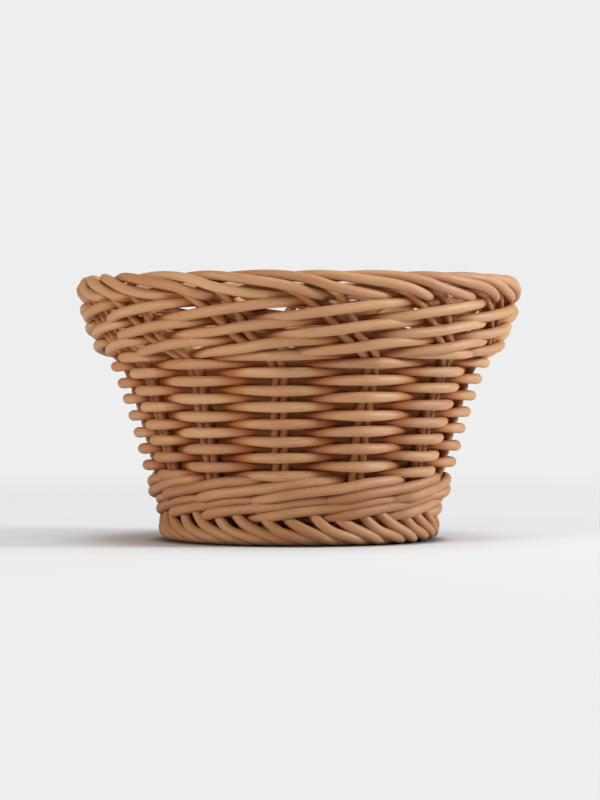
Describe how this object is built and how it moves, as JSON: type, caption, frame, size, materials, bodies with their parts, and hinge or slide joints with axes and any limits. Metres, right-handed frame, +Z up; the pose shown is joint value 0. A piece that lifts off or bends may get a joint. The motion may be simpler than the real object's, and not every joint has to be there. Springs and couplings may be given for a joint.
{
  "type": "bread basket",
  "caption": "Round flared bread basket woven from natural round cane, with twined wales, a plain woven siding, a rolled top border and a plaited foot.",
  "frame": {"origin": "on the floor under the middle of the basket", "axes": "+Z up through the mouth; -Y is the side that faces the viewer, +X to the viewer's right"},
  "size_m": [0.2186, 0.2194, 0.1299],
  "materials": {
    "stake_cane": "satin natural cane",
    "siding_cane": "satin natural cane",
    "wale_cane": "satin natural cane",
    "foot_cane": "satin natural cane",
    "base_cane": "satin natural cane",
    "base_stick": "satin natural cane"
  },
  "bodies": {
    "root": {"base_stick_1": "base_stick", "base_stick_2": "base_stick", "base_stick_3": "base_stick", "base_stick_4": "base_stick", "base_stick_5": "base_stick", "base_stick_6": "base_stick", "base_half_stick": "base_stick", "base_weaver": "base_cane", "stake_pair_01": "stake_cane", "stake_pair_02": "stake_cane", "stake_pair_03": "stake_cane", "stake_pair_04": "stake_cane", "stake_pair_05": "stake_cane", "stake_pair_06": "stake_cane", "stake_pair_07": "stake_cane", "stake_pair_08": "stake_cane", "stake_pair_09": "stake_cane", "stake_pair_10": "stake_cane", "stake_pair_11": "stake_cane", "stake_pair_12": "stake_cane", "stake_pair_13": "stake_cane", "lower_wale_cane_a": "wale_cane", "lower_wale_cane_b": "wale_cane", "lower_wale_cane_c": "wale_cane", "siding_cane_1": "siding_cane", "siding_cane_2": "siding_cane", "siding_cane_3": "siding_cane", "siding_cane_4": "siding_cane", "siding_cane_5": "siding_cane", "upper_wale_cane_a": "wale_cane", "upper_wale_cane_b": "wale_cane", "foot_pair_01": "foot_cane", "foot_pair_02": "foot_cane", "foot_pair_03": "foot_cane", "foot_pair_04": "foot_cane", "foot_pair_05": "foot_cane", "foot_pair_06": "foot_cane", "foot_pair_07": "foot_cane", "foot_pair_08": "foot_cane", "foot_pair_09": "foot_cane", "foot_pair_10": "foot_cane", "foot_pair_11": "foot_cane", "foot_pair_12": "foot_cane", "foot_pair_13": "foot_cane", "foot_pair_14": "foot_cane", "foot_pair_15": "foot_cane", "foot_pair_16": "foot_cane", "foot_pair_17": "foot_cane"}
  },
  "joints": []
}
